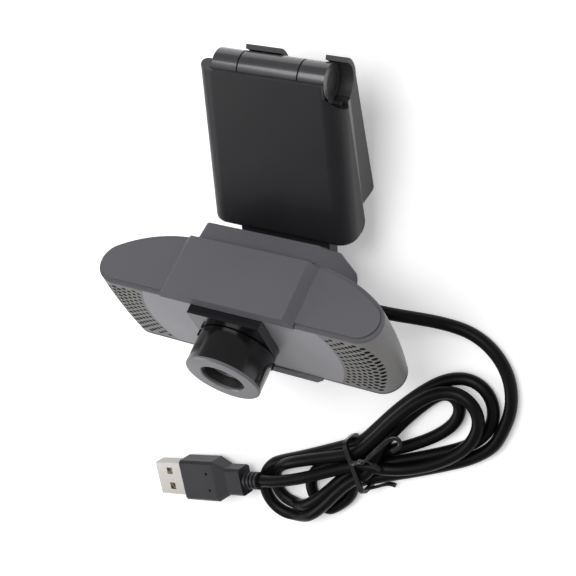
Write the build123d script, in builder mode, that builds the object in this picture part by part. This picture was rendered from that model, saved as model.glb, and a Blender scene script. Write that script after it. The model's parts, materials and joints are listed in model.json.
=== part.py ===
from build123d import *
import math
import os

os.makedirs("parts", exist_ok=True)

# Webcam with a folding monitor clip, lying folded on a table with its lens aimed up.
# World: +X across the head, +Y towards the clip's hinge, +Z up, table at z = 0.
# Head frame: F along the lens axis, U out of the head's top face, both through the head's centre.
# Clip frame: L from the hinge down the clip plate, N out of the plate's outer face, from the hinge's axis.

# ---- clearances
seat_gap = 0.10  # between fixed pieces that sit in each other
run_gap = 0.06  # radial, a shaft in its bore
move_gap = 0.35  # between pieces that pass each other

# ---- head
head_half_width = 46.6  # top face, centre to tip
plan_front = 8.2  # top face's front edge ahead of the centre
plan_depth = 18.7  # top face, front edge to back edge
tip_radius = 5.9
back_radius = 43.0
face_height = 16.9  # centre to a wing's top face
rim_width = 1.1  # border around the top face
rim_top = 16.3
shell_half_height = 15.4
shell_wall = 1.7
shell_bulge = 0.9  # how far the ends swell past the rim
cover_thickness = 1.5
band_half_width = 20.0
band_height_top = 19.7
band_height_bottom = 19.5
band_slope = 2.7
band_overhang = 0.35  # the band's front edge ahead of the front plate
plate_half_width = 33.3  # front plate at mid height
plate_end_sagitta = 3.8
frame_half_width = 40.0
frame_half_height = 13.4
frame_back = 1.8
frame_thickness = 1.3

# ---- rear housing, in the head's F and U
housing_half_width = 19.95
housing_front = -11.7
housing_top_front = 16.4
housing_top_back = (-18.3, 15.6)
housing_knee = (-25.4, 0.7)
housing_foot_center = (-22.8, -14.2)
housing_foot_radius = 5.0
housing_wall = 1.7
housing_edge_radius = 1.2

# ---- lens
barrel_radius = 12.06
barrel_wall = 1.5
barrel_seam = 12.5  # where the fixed barrel ends and the focus ring starts
seam_gap = 0.3
barrel_front = 24.1
bezel_thickness = 0.9
bezel_opening = 7.0
sleeve_wall = 1.1
sleeve_front = 19.0
flange_radius = 14.5
flange_thickness = 1.3
hood_opening = 6.35
hood_wall = 1.4
hood_step = 0.1
hood_ring = (2.2, 3.0)  # the hood's inner ring, ahead of the sleeve
cell_radius = 5.9
cell_front = 20.9
cell_back = 0.4
front_lens_radius = 4.9
front_lens_seat = 2.6
front_lens_edge = 1.3
front_lens_crown = 0.8
front_lens_slope = 35
retainer_size = (0.6, 0.35)
rear_lens_radius = 3.2
rear_lens_span = (1.4, 3.0)  # along the lens axis
middle_lens_span = (9.0, 10.8)
spacer_wall = 0.8
holder_wall = 1.6
holder_half = 8.5
holder_front = 8.0
holder_foot = 14.0
window_margin = 1.0
rib_size = (1.2, 2.2, 0.45)

# ---- electronics
board_size = (40.0, 24.0, 1.2)
board_front = -3.2
sensor_size = (7.0, 6.0, 1.0)
filter_size = (7.6, 7.6, 0.5)
filter_back = -1.2
chip_places = ((-6, 3, 8, 8), (5, 5, 5, 4))  # x, y, width, height on the board's back
small_chip = (1.6, 0.8)
small_chip_pitch = 4.0
chip_thickness = 1.0
connector_place = (9, -7)
connector_size = (8, 4, 4)
screw_pitch = (33.0, 19.0)
boss_radius = 2.1
screw_radius = 0.9
screw_head_radius = 1.8
screw_head = 1.2
screw_grip = 3.5
mic_offset = 36.0
mic_radius = 3.0
mic_length = 2.2
boot_wall = 1.2
cloth_width = 8.0
cloth_offset = 4.0  # past the plate's side
cloth_thickness = 0.15

# ---- clip
hinge_forward = -52.5
hinge_up = 49.3
clip_angle = 19.6  # clip plate from the head's U axis
knuckle_radius = 5.35
centre_knuckle_half = 9.6
knuckle_gap = 0.5
hinge_half = 18.4
pin_radius = 1.5
cap_radius = 3.35
cap_thickness = 1.2
washer_radius = 4.9
bracket_top = -2.1
bracket_bottom = 50.3
bracket_top_half = 23.2
bracket_bottom_half = 24.6
bracket_top_depth = 6.7
bracket_bottom_depth = 12.5
bracket_wall = 1.8
bracket_side_radius = 5.5
bracket_foot_radius = 1.6
bracket_heel_radius = 4.0
recess_radius = 7.2  # around the pin's cap, in the right side only
plate_gap = 0.25  # from the clip's parting plane to each inner plate
inner_plate = 1.6
frame_top = 6.0  # both inner plates, from the hinge axis
frame_bottom = 46.4
frame_slot_top = 39.5
web_span = (3.0, 8.0)
web_depth = 3.5
tilt_along = 45.5  # tilt axis in the clip frame
tilt_out = 5.5
tilt_barrel_radius = 4.2
tilt_pin_radius = 2.0
tilt_half = 18.6
ear_radius = 3.9
ear_thickness = 2.6
neck_thickness = 5.0
arm_setback = 3.0  # arm narrower than its barrel, at each end
neck_root = (-23.2, -7.5)  # head's F and U
slot_depth = 10.2
slot_top = 42.5
leg_half = 22.4
leg_plate_end = 43.6
leg_back_top = 6.9
leg_top = -1.0
leg_heel_along = 42.4
leg_heel_out = -9.3
heel_radius = 1.1
leg_wall = 1.6
leg_lip = 0.2  # how far the inner plate stands past the leg's sides
leg_hollow_top = 8.0
wrap_inner = 5.75
lug_radius = 7.2
lug_span = (-10.5, 1.0)
shoulder_start = 15.5
wrap_lead = 150  # degrees around the hinge, from the clip plate
wrap_root = 80
pad_thickness = 0.9
pad_half = 16.5
pad_span = (11.0, 37.0)
clip_screw_rows = (10.5, 38.0)
clip_screw_offset = 19.2
clip_screw_radius = 0.8
clip_head_radius = 1.5
clip_head = 0.9
clip_boss_radius = 1.7

# ---- cable and plug
cable_diameter = 4.1
gland_place = (-15.4, -12.6)  # head's F and U
gland_length = 8.3
gland_radius = 3.4
gland_step = 0.8
hank_height = 10.0
tie_thickness = 1.1
tie_width = 1.5
tie_corner = 2.5
tie_place = (27.0, -81.3)
tie_angle = 26.05
tie_low = -10.7
tie_high = 8.4
hank_core_gap = 0.05
plug_tip = (-50.5, -111.6)
plug_angle = 16.86
plug_pitch = 6.3  # the relief rests on the bundle's lowest turn
plug_shell_size = (12.0, 4.5)
plug_shell_length = 12.7
plug_wall = 0.3
plug_half_width = 7.47
plug_half_height = 3.76
plug_shoulder = 27.5
plug_neck_half = 4.97
plug_neck_start = 32.5
plug_neck_end = 38.8
relief_end = 45.0
relief_radius = 2.35
relief_ring = (3.05, 0.9)  # radius and thickness
relief_pitch = 1.55
relief_rings = 4
plug_neck_height = 3.2
plug_edge_chamfer = 0.9
plug_pit = (24.5, 3.1, 0.55, 0.5)  # along, across, radius, depth
plug_hole_size = 2.5
plug_hole_place = (6.0, 2.9)
shell_seat = 3.0
tongue_thickness = 1.9
tongue_start = 0.6
contact_size = (8.6, 1.0, 0.15)
contact_pitch = 2.3

# Route of the loose lead after its straight exit, and the hank's two edges between the lead and the plug.
exit_run = 7.2
lead_route = (
    (43.5, -26.9, 7.4), (51.0, -28.0, 3.6), (58.5, -29.3, 2.05), (65.0, -32.0, 2.05),
    (70.5, -37.0, 2.05), (73.9, -43.4, 2.05), (75.0, -51.5, 2.05), (72.9, -60.0, 2.05),
)
hank_upper = (
    (-5.5, -92.8), (5, -85.4), (19, -78.2), (28, -70), (36, -60), (44, -51.5), (52, -45.2),
    (59, -42.9), (66, -44.6), (69.6, -49),
)
hank_lower = (
    (73, -66), (66.5, -72), (58, -76.8), (46, -83.2), (32.5, -90.5), (26, -98.6), (18, -106.4),
    (7, -111.2), (-4, -110.6), (-9.5, -106.5),
)
lead_face_half = 2.2  # half width of the hank where the lead enters it
plug_face_half = 3.3

# ---- placement: the housing's round foot and the folded leg's heel both touch the table
clip_turn = math.radians(clip_angle)
along_dir = (math.sin(clip_turn), -math.cos(clip_turn))
out_dir = (math.cos(clip_turn), math.sin(clip_turn))
heel_center = (
    hinge_forward + leg_heel_along * along_dir[0] + leg_heel_out * out_dir[0],
    hinge_up + leg_heel_along * along_dir[1] + leg_heel_out * out_dir[1],
)
foot_span = housing_foot_center[0] - heel_center[0]
foot_rise = heel_center[1] - housing_foot_center[1]
radius_step = housing_foot_radius - heel_radius
lens_elevation = math.asin(radius_step / math.hypot(foot_span, foot_rise)) + math.atan2(foot_rise, foot_span)
sine = math.sin(lens_elevation)
cosine = math.cos(lens_elevation)
head_height = housing_foot_radius - housing_foot_center[0] * sine - housing_foot_center[1] * cosine
head_setback = -27.185


def world(forward, up):
    """A point on the head's middle plane, in world coordinates."""
    return (0, head_setback - forward * cosine + up * sine, head_height + forward * sine + up * cosine)


forward_dir = (0, -cosine, sine)
up_dir = (0, sine, cosine)
hinge_point = world(hinge_forward, hinge_up)
tilt_forward = hinge_forward + tilt_along * along_dir[0] + tilt_out * out_dir[0]
tilt_up = hinge_up + tilt_along * along_dir[1] + tilt_out * out_dir[1]
plate_dir = tuple(along_dir[0] * f + along_dir[1] * u for f, u in zip(forward_dir, up_dir))
face_dir = tuple(out_dir[0] * f + out_dir[1] * u for f, u in zip(forward_dir, up_dir))

HEAD = Plane(origin=world(0, 0), x_dir=(1, 0, 0), z_dir=up_dir)  # x across, y backwards
LENS = Plane(origin=world(0, 0), x_dir=(1, 0, 0), z_dir=forward_dir)  # x across, y up
SIDE = Plane(origin=world(0, 0), x_dir=forward_dir, z_dir=(-1, 0, 0))  # x forward, y up
CLIP = Plane(origin=hinge_point, x_dir=plate_dir, z_dir=(-1, 0, 0))  # x along the plate, y outwards
FACE = Plane(origin=hinge_point, x_dir=(1, 0, 0), z_dir=face_dir)  # x across, y towards the hinge

# ---------------------------------------------------------------- head shell
front_line = -plan_front


def head_outline(outset, reach=0.0):
    """Plan of the head: straight front, small round tips, and a long shallow curve behind."""
    tip = tip_radius + outset
    back = back_radius + outset
    depth = plan_depth + 2 * outset
    swing = math.degrees(math.acos((back + tip - depth) / (back - tip)))
    tip_x = head_half_width + reach + outset - tip
    flat_x = tip_x - (back - tip) * math.sin(math.radians(swing))
    front_y = front_line - outset
    back_y = front_y + depth
    with BuildSketch() as shape:
        with BuildLine() as outline:
            Line((-tip_x, front_y), (tip_x, front_y))
            CenterArc((tip_x, front_y + tip), tip, -90, 180 - swing)
            CenterArc((flat_x, back_y - back), back, 90 - swing, swing)
            Line((flat_x, back_y), (-flat_x, back_y))
            CenterArc((-flat_x, back_y - back), back, 90, swing)
            CenterArc((-tip_x, front_y + tip), tip, 90 + swing, 180 - swing)
        make_face()
    return shape.sketch


def plate_region(inset):
    """Outline of the front plate, whose ends bow outwards."""
    half = plate_half_width - inset
    side = half - plate_end_sagitta
    high = shell_half_height
    with BuildSketch() as shape:
        with BuildLine() as outline:
            ThreePointArc((side, -high), (half, 0), (side, high))
            Line((side, high), (-side, high))
            ThreePointArc((-side, high), (-half, 0), (-side, -high))
            Line((-side, -high), (side, -high))
        make_face()
    return shape.sketch


with BuildPart() as shell_ring:
    with BuildSketch(HEAD.offset(-shell_half_height)):
        add(head_outline(rim_width))
    with BuildSketch(HEAD):
        add(head_outline(rim_width, shell_bulge))
    with BuildSketch(HEAD.offset(shell_half_height)):
        add(head_outline(rim_width))
    loft()
    with BuildSketch(HEAD.offset(-shell_half_height)):
        add(head_outline(rim_width - shell_wall))
    extrude(amount=2 * shell_half_height, mode=Mode.SUBTRACT)

with BuildPart() as front_plate:
    with BuildSketch(LENS):
        add(plate_region(seat_gap / 2))
    extrude(amount=plan_front + 3 * rim_width)
    add(shell_ring.part, mode=Mode.INTERSECT)
    with BuildSketch(LENS):
        Circle(barrel_radius + seat_gap)
    extrude(amount=plan_front + 3 * rim_width, mode=Mode.SUBTRACT)

with BuildPart() as end_shells:
    add(shell_ring.part)
    with BuildSketch(LENS):
        add(plate_region(-seat_gap / 2))
    extrude(amount=plan_front + 3 * rim_width, mode=Mode.SUBTRACT)
    with BuildSketch(LENS):
        Rectangle(2 * (housing_half_width - housing_wall), 2 * shell_half_height)
    extrude(amount=-plan_depth, mode=Mode.SUBTRACT)

left_solid, right_solid = end_shells.part.solids().sort_by(Axis.X)
with BuildPart() as left_end_shell:
    add(left_solid)
with BuildPart() as right_end_shell:
    add(right_solid)


def band_profile(height, base, inset):
    """Cross-section of the raised middle band, in the head's X and U."""
    half = band_half_width - inset
    with BuildSketch() as shape:
        with BuildLine() as outline:
            Polyline(
                (-half - band_slope, base), (-half, height - inset), (half, height - inset),
                (half + band_slope, base), (-half - band_slope, base),
            )
        make_face()
    return shape.sketch


def make_cover(band_height):
    """A thin flange that forms the rim, the inset face on it and the raised band."""
    back_line = plan_front - plan_depth
    with BuildPart() as piece:
        with BuildSketch(HEAD.offset(shell_half_height + seat_gap)):
            add(head_outline(rim_width))
        extrude(amount=rim_top - shell_half_height - seat_gap)
        with BuildSketch(HEAD.offset(rim_top)):
            add(head_outline(0))
        extrude(amount=face_height - rim_top)
        with BuildSketch(LENS.offset(back_line)):
            add(band_profile(band_height, face_height - seat_gap, 0))
        extrude(amount=plan_depth)
        with BuildSketch(LENS.offset(plan_front - cover_thickness)):
            add(band_profile(band_height, face_height - seat_gap, 0))
            with Locations((0, (shell_half_height + seat_gap + face_height) / 2)):
                Rectangle(2 * (band_half_width + band_slope), face_height - shell_half_height - seat_gap)
        extrude(amount=cover_thickness + rim_width + band_overhang)
        with BuildSketch(LENS.offset(back_line + cover_thickness)):
            add(band_profile(band_height, shell_half_height, cover_thickness))
        extrude(amount=plan_depth - 2 * cover_thickness, mode=Mode.SUBTRACT)
    return piece


top_cover = make_cover(band_height_top)
with BuildPart() as bottom_cover:
    mirror(make_cover(band_height_bottom).part, about=HEAD)

with BuildPart() as inner_frame:
    with BuildSketch(LENS.offset(frame_back)):
        RectangleRounded(2 * frame_half_width, 2 * frame_half_height, tip_radius)
        Circle(holder_half + holder_wall, mode=Mode.SUBTRACT)
    extrude(amount=frame_thickness)
    with BuildSketch(LENS.offset(frame_back)):
        with GridLocations(*screw_pitch, 2, 2):
            Circle(boss_radius)
    extrude(amount=board_front + seat_gap - frame_back)
    with BuildSketch(LENS.offset(board_front)):
        with GridLocations(*screw_pitch, 2, 2):
            Circle(screw_radius + run_gap)
    extrude(amount=frame_back + frame_thickness - board_front, mode=Mode.SUBTRACT)

# ---------------------------------------------------------------- rear housing
foot_f, foot_u = housing_foot_center
foot_line = foot_u - housing_foot_radius


def housing_profile(inset, front):
    """Side view of the rear housing: sloping top and back, round foot."""
    radius = housing_foot_radius - inset
    back_f = foot_f - radius
    top_back = (housing_top_back[0] + inset, housing_top_back[1] - inset)
    with BuildSketch() as shape:
        with BuildLine() as outline:
            Line((front, housing_top_front - inset), top_back)
            Line(top_back, (housing_knee[0] + inset, housing_knee[1]))
            Line((housing_knee[0] + inset, housing_knee[1]), (back_f, foot_u))
            RadiusArc((back_f, foot_u), (foot_f, foot_u - radius), -radius)
            Line((foot_f, foot_u - radius), (front, foot_u - radius))
            Line((front, foot_u - radius), (front, housing_top_front - inset))
        make_face()
    return shape.sketch


gland_point = world(*gland_place)
GLAND = Plane(origin=(housing_half_width, gland_point[1], gland_point[2]), x_dir=(0, 1, 0), z_dir=(1, 0, 0))

neck_turn = math.degrees(math.atan2(tilt_up - neck_root[1], tilt_forward - neck_root[0]))
neck_length = math.hypot(tilt_up - neck_root[1], tilt_forward - neck_root[0])
neck_middle = ((tilt_forward + neck_root[0]) / 2, (tilt_up + neck_root[1]) / 2)
arm_half = tilt_half - arm_setback


def neck_strip(thickness):
    """Side view of the arm that joins the tilt barrel to the housing."""
    with BuildSketch() as shape:
        with Locations(neck_middle):
            Rectangle(neck_length, thickness, rotation=neck_turn)
    return shape.sketch


with BuildPart() as rear_housing:
    with BuildSketch(SIDE):
        add(housing_profile(0, housing_front))
    extrude(amount=housing_half_width, both=True)
    side_faces = faces().sort_by(Axis.X)
    outer_edges = side_faces[0].edges() + side_faces[-1].edges()
    fillet([edge for edge in outer_edges if edge.distance_to(Edge.make_line(
        world(housing_front, foot_line), world(housing_front, housing_top_front))) > 0
        and edge.length < 40], housing_edge_radius)
    with BuildSketch(SIDE):
        add(housing_profile(housing_wall, housing_front + housing_wall))
    extrude(amount=housing_half_width - housing_wall, both=True, mode=Mode.SUBTRACT)
    with BuildSketch(GLAND):
        Circle(gland_radius - gland_step)
    extrude(amount=-2 * housing_wall, mode=Mode.SUBTRACT)
    with BuildSketch(SIDE):
        add(neck_strip(neck_thickness + 2 * seat_gap))
    extrude(amount=arm_half + seat_gap, both=True, mode=Mode.SUBTRACT)

with BuildPart() as tilt_neck:
    with BuildSketch(SIDE):
        add(neck_strip(neck_thickness))
    extrude(amount=arm_half, both=True)
    with BuildSketch(SIDE):
        with Locations((tilt_forward, tilt_up)):
            Circle(tilt_barrel_radius)
    extrude(amount=tilt_half, both=True)
    with BuildSketch(SIDE):
        with Locations((tilt_forward, tilt_up)):
            Circle(tilt_pin_radius + run_gap)
    extrude(amount=tilt_half, both=True, mode=Mode.SUBTRACT)

with BuildPart() as cable_gland:
    with BuildSketch(GLAND.offset(-housing_wall)):
        Circle(gland_radius - gland_step - seat_gap)
    extrude(amount=housing_wall + seat_gap / 2)
    with BuildSketch(GLAND.offset(seat_gap / 2)):
        Circle(gland_radius)
    with BuildSketch(GLAND.offset(gland_length)):
        Circle(cable_diameter / 2 + gland_step)
    loft()

# ---------------------------------------------------------------- lens and focus
inner_face = plan_front + rim_width - shell_wall
sleeve_outer = barrel_radius - barrel_wall - run_gap
ring_back = barrel_seam + seam_gap
bezel_back = barrel_front - bezel_thickness


def tube(outer, inner, back, front):
    """A tube on the lens axis."""
    with BuildPart() as piece:
        with BuildSketch(LENS.offset(back)):
            Circle(outer)
            if inner:
                Circle(inner, mode=Mode.SUBTRACT)
        extrude(amount=front - back)
    return piece


with BuildPart() as barrel_base:
    add(tube(flange_radius, sleeve_outer - sleeve_wall, inner_face - seat_gap - flange_thickness,
             inner_face - seat_gap).part)
    add(tube(barrel_radius, sleeve_outer - sleeve_wall, inner_face - seat_gap, barrel_seam).part)
    with BuildSketch(LENS.offset(plan_front + rim_width + seat_gap)):
        collar_top = shell_half_height - seat_gap
        with Locations((0, collar_top / 2)):
            Rectangle(2 * barrel_radius, collar_top)
        Circle(barrel_radius - sleeve_wall, mode=Mode.SUBTRACT)
    extrude(amount=barrel_seam - plan_front - rim_width - seat_gap)
    add(tube(sleeve_outer, sleeve_outer - sleeve_wall, barrel_seam, sleeve_front).part)

hood_back = sleeve_front + move_gap
hood_outer = hood_opening + hood_wall - seat_gap

with BuildPart() as focus_ring:
    add(tube(barrel_radius, sleeve_outer + run_gap, ring_back, hood_back).part)
    add(tube(barrel_radius, hood_opening + hood_wall, hood_back, bezel_back - seat_gap / 2).part)
    with BuildSketch(LENS.offset(ring_back)):
        with PolarLocations(barrel_radius + rib_size[2] / 2 - seat_gap, 2, start_angle=-28):
            Rectangle(rib_size[2] + 2 * seat_gap, rib_size[0])
    extrude(amount=rib_size[1])

with BuildPart() as lens_bezel:
    add(tube(barrel_radius, bezel_opening, bezel_back, barrel_front).part)
    front_edges = edges().filter_by(GeomType.CIRCLE).sort_by(Axis(world(0, 0), forward_dir))[-2:]
    chamfer(front_edges, bezel_thickness / 3)

with BuildPart() as lens_hood:
    add(tube(hood_outer, hood_opening, hood_back, bezel_back - seat_gap).part)
    add(tube(hood_outer, hood_opening - hood_step,
             sleeve_front + hood_ring[0], sleeve_front + hood_ring[1]).part)

with BuildPart() as lens_cell:
    add(tube(cell_radius, rear_lens_radius + run_gap, cell_back, cell_front).part)
    with BuildSketch(LENS.offset(cell_front)):
        Circle(front_lens_radius + run_gap)
    extrude(amount=-front_lens_seat, mode=Mode.SUBTRACT)

lens_edge_back = cell_front - front_lens_seat + seat_gap
lens_edge_front = lens_edge_back + front_lens_edge
with BuildPart() as front_lens:
    add(tube(front_lens_radius, 0, lens_edge_back, lens_edge_front).part)
    with BuildSketch(LENS.offset(lens_edge_front)):
        Circle(front_lens_radius - 2 * seat_gap)
    extrude(amount=front_lens_crown, taper=front_lens_slope)

rear_lens = tube(rear_lens_radius, 0, *rear_lens_span)
middle_lens = tube(rear_lens_radius, 0, *middle_lens_span)
lens_spacer = tube(rear_lens_radius, rear_lens_radius - spacer_wall,
                   rear_lens_span[1] + seat_gap / 2, middle_lens_span[0] - seat_gap / 2)
lens_retainer = tube(front_lens_radius, front_lens_radius - retainer_size[0],
                     cell_front - retainer_size[1], cell_front)

with BuildPart() as lens_holder:
    with BuildSketch(LENS.offset(board_front)):
        Rectangle(holder_foot, holder_foot)
    extrude(amount=-board_front)
    add(tube(cell_radius + run_gap + holder_wall, 0, 0, holder_front).part)
    with BuildSketch(LENS):
        Circle(cell_radius + run_gap)
    extrude(amount=holder_front, mode=Mode.SUBTRACT)
    with BuildSketch(LENS.offset(board_front)):
        Rectangle(sensor_size[0] + 2 * window_margin, sensor_size[1] + 2 * window_margin)
    extrude(amount=-board_front, mode=Mode.SUBTRACT)

with BuildPart() as ir_filter:
    with BuildSketch(LENS.offset(filter_back)):
        Rectangle(filter_size[0], filter_size[1])
    extrude(amount=filter_size[2])

with BuildPart() as image_sensor:
    with BuildSketch(LENS.offset(board_front)):
        Rectangle(sensor_size[0], sensor_size[1])
    extrude(amount=sensor_size[2])

# ---------------------------------------------------------------- electronics
board_back = board_front - board_size[2]
with BuildPart() as main_board:
    with BuildSketch(LENS.offset(board_back)):
        Rectangle(board_size[0], board_size[1])
        with GridLocations(*screw_pitch, 2, 2):
            Circle(screw_radius + run_gap, mode=Mode.SUBTRACT)
    extrude(amount=board_size[2])

with BuildPart() as board_chips:
    with BuildSketch(LENS.offset(board_back)):
        for chip_x, chip_y, chip_width, chip_height in chip_places:
            with Locations((chip_x, chip_y)):
                Rectangle(chip_width, chip_height)
        with GridLocations(small_chip_pitch, 0, 3, 1):
            Rectangle(*small_chip)
    extrude(amount=-chip_thickness)

with BuildPart() as cable_connector:
    with BuildSketch(LENS.offset(board_back)):
        with Locations(connector_place):
            Rectangle(connector_size[0], connector_size[1])
    extrude(amount=-connector_size[2])

with BuildPart() as board_screws:
    with BuildSketch(LENS.offset(board_back)):
        with GridLocations(*screw_pitch, 2, 2):
            Circle(screw_head_radius)
    extrude(amount=-screw_head)
    with BuildSketch(LENS.offset(board_back)):
        with GridLocations(*screw_pitch, 2, 2):
            Circle(screw_radius)
    extrude(amount=board_size[2] + screw_grip)

mic_back = frame_back + frame_thickness


def make_boot(side):
    """Rubber cup that holds a microphone on the inner frame."""
    with BuildPart() as piece:
        with BuildSketch(LENS.offset(mic_back)):
            with Locations((side * mic_offset, 0)):
                Circle(mic_radius + boot_wall)
        extrude(amount=mic_length + boot_wall)
        with BuildSketch(LENS.offset(mic_back + boot_wall)):
            with Locations((side * mic_offset, 0)):
                Circle(mic_radius)
        extrude(amount=mic_length, mode=Mode.SUBTRACT)
    return piece


def make_microphone(side):
    """Microphone capsule in its boot."""
    with BuildPart() as piece:
        with BuildSketch(LENS.offset(mic_back + boot_wall)):
            with Locations((side * mic_offset, 0)):
                Circle(mic_radius)
        extrude(amount=mic_length)
    return piece


def make_cloth(side):
    """Thin acoustic cloth behind a grille."""
    with BuildPart() as piece:
        with BuildSketch(LENS.offset(inner_face - 2.5 * seat_gap)):
            with Locations((side * (plate_half_width + cloth_offset), 0)):
                Rectangle(cloth_width, 2 * frame_half_height)
        extrude(amount=cloth_thickness)
    return piece


left_mic_boot = make_boot(-1)
right_mic_boot = make_boot(1)
left_microphone = make_microphone(-1)
right_microphone = make_microphone(1)
left_cloth = make_cloth(-1)
right_cloth = make_cloth(1)

# ---------------------------------------------------------------- clip bracket
depth_slope = (bracket_bottom_depth - bracket_top_depth) / (bracket_bottom - bracket_top)


def face_depth(along):
    """Height of the bracket's outer face above the parting plane."""
    return bracket_top_depth + depth_slope * (along - bracket_top)


def bracket_solid(inset, floor):
    """The bracket's outer block, or its hollow when inset: wedge in side view, widening towards the head."""
    top = bracket_top + inset
    bottom = bracket_bottom - inset
    with BuildPart() as block:
        with BuildSketch(CLIP):
            with BuildLine():
                Polyline(
                    (top, floor), (top, face_depth(top) - inset), (bottom, face_depth(bottom) - inset),
                    (bottom, floor), (top, floor),
                )
            make_face()
            fillet(vertices().group_by(Axis.X)[-1].sort_by(Axis.Y)[0], bracket_heel_radius - inset)
        extrude(amount=2 * bracket_bottom_half, both=True)
        with BuildSketch(FACE.offset(floor - 1)):
            with BuildLine():
                Polyline(
                    (-bracket_top_half + inset, -top), (bracket_top_half - inset, -top),
                    (bracket_bottom_half - inset, -bottom), (-bracket_bottom_half + inset, -bottom),
                    (-bracket_top_half + inset, -top),
                )
            make_face()
        extrude(amount=2 * bracket_bottom_depth, mode=Mode.INTERSECT)
        edge_radius = bracket_side_radius - inset
        long_edges = edges().filter_by(lambda edge: edge.length > 40 and abs(edge.center().X) > 15)
        fillet(long_edges.sort_by(Axis(hinge_point, face_dir))[-2:], edge_radius)
        low_front = edges().filter_by(Axis.X).sort_by(Axis(hinge_point, face_dir))[-1]
        fillet(low_front, bracket_foot_radius - inset / 2)
    return block




def clip_span(high, low):
    """Clip plane at the higher x, and the distance to extrude to reach the lower x."""
    return CLIP.offset(-high), high - low


def clip_screw_sketch(radius, rows=clip_screw_rows):
    """Circles at the clip screws' places, two in each row."""
    with BuildSketch() as shape:
        for row in rows:
            with Locations((clip_screw_offset, -row), (-clip_screw_offset, -row)):
                Circle(radius)
    return shape.sketch


frame_out = plate_gap + inner_plate
bracket_screw_reach = face_depth(clip_screw_rows[0]) - 2 * bracket_wall - frame_out
with BuildPart() as bracket_shell:
    add(bracket_solid(0, plate_gap - seat_gap).part)
    add(bracket_solid(bracket_wall, -inner_plate).part, mode=Mode.SUBTRACT)
    for row in clip_screw_rows:
        with BuildSketch(FACE.offset(frame_out + seat_gap)):
            add(clip_screw_sketch(clip_boss_radius, (row,)))
        extrude(amount=face_depth(row) - bracket_wall / 2 - frame_out - seat_gap)
    with BuildSketch(FACE.offset(frame_out)):
        add(clip_screw_sketch(clip_screw_radius))
    extrude(amount=bracket_screw_reach + move_gap, mode=Mode.SUBTRACT)
    with BuildSketch(CLIP):
        Circle(knuckle_radius + move_gap)
    extrude(amount=hinge_half + move_gap, both=True, mode=Mode.SUBTRACT)
    with BuildSketch(CLIP.offset(-2 * bracket_bottom_half)):
        Circle(recess_radius)
    extrude(amount=2 * bracket_bottom_half - hinge_half, mode=Mode.SUBTRACT)
    with BuildSketch(CLIP):
        with Locations(((slot_top + 2 * bracket_bottom) / 2, 0)):
            Rectangle(2 * bracket_bottom - slot_top, 2 * slot_depth)
    extrude(amount=tilt_half + move_gap + ear_thickness + seat_gap, both=True, mode=Mode.SUBTRACT)

plate_half = bracket_top_half - bracket_wall - seat_gap
knuckle_inner = centre_knuckle_half + knuckle_gap


def knuckle_sketch(bore):
    """Hinge knuckle's section with its bore."""
    with BuildSketch() as shape:
        Circle(knuckle_radius)
        Circle(bore, mode=Mode.SUBTRACT)
    return shape.sketch


with BuildPart() as bracket_frame:
    with BuildSketch(FACE.offset(plate_gap)):
        with Locations((0, -(frame_top + frame_bottom) / 2)):
            Rectangle(2 * plate_half, frame_bottom - frame_top)
        with Locations((0, -frame_bottom)):
            Rectangle(2 * (tilt_half + move_gap), 2 * (frame_bottom - frame_slot_top), mode=Mode.SUBTRACT)
    extrude(amount=inner_plate)
    with BuildSketch(FACE.offset(plate_gap)):
        with Locations((0, -(pad_span[0] + pad_span[1]) / 2)):
            Rectangle(2 * pad_half, pad_span[1] - pad_span[0])
    extrude(amount=pad_thickness, mode=Mode.SUBTRACT)
    with BuildSketch(FACE.offset(plate_gap)):
        add(clip_screw_sketch(clip_head_radius + run_gap))
    extrude(amount=clip_head, mode=Mode.SUBTRACT)
    with BuildSketch(FACE.offset(plate_gap)):
        add(clip_screw_sketch(clip_screw_radius + run_gap))
    extrude(amount=inner_plate, mode=Mode.SUBTRACT)
    for high, low in ((hinge_half, knuckle_inner), (-knuckle_inner, -hinge_half)):
        plane, length = clip_span(high, low)
        with BuildSketch(plane):
            Circle(knuckle_radius)
            with Locations(((web_span[0] + web_span[1]) / 2, (plate_gap + web_depth) / 2)):
                Rectangle(web_span[1] - web_span[0], web_depth - plate_gap)
        extrude(amount=length)
    for high, low in ((tilt_half + move_gap + ear_thickness, tilt_half + move_gap),
                      (-tilt_half - move_gap, -tilt_half - move_gap - ear_thickness)):
        plane, length = clip_span(high, low)
        with BuildSketch(plane):
            with Locations((tilt_along, tilt_out)):
                Circle(ear_radius)
            with Locations(((tilt_along - ear_radius + frame_bottom) / 2, (plate_gap + tilt_out) / 2)):
                Rectangle(frame_bottom - tilt_along + ear_radius, tilt_out - plate_gap)
        extrude(amount=length)
    with BuildSketch(CLIP):
        Circle(pin_radius + run_gap)
        with Locations((tilt_along, tilt_out)):
            Circle(tilt_pin_radius + seat_gap / 2)
    extrude(amount=bracket_bottom_half, both=True, mode=Mode.SUBTRACT)
    for high in (hinge_half, -hinge_half + cap_thickness):
        with BuildSketch(CLIP.offset(-high)):
            Circle(cap_radius)
        extrude(amount=cap_thickness, mode=Mode.SUBTRACT)

with BuildPart() as bracket_pad:
    with BuildSketch(FACE.offset(plate_gap)):
        with Locations((0, -(pad_span[0] + pad_span[1]) / 2)):
            Rectangle(2 * (pad_half - seat_gap), pad_span[1] - pad_span[0] - 2 * seat_gap)
    extrude(amount=pad_thickness)

with BuildPart() as bracket_screws:
    with BuildSketch(FACE.offset(plate_gap + seat_gap)):
        add(clip_screw_sketch(clip_head_radius))
    extrude(amount=clip_head - seat_gap)
    with BuildSketch(FACE.offset(plate_gap + clip_head)):
        add(clip_screw_sketch(clip_screw_radius))
    extrude(amount=inner_plate - clip_head + bracket_screw_reach)

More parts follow.
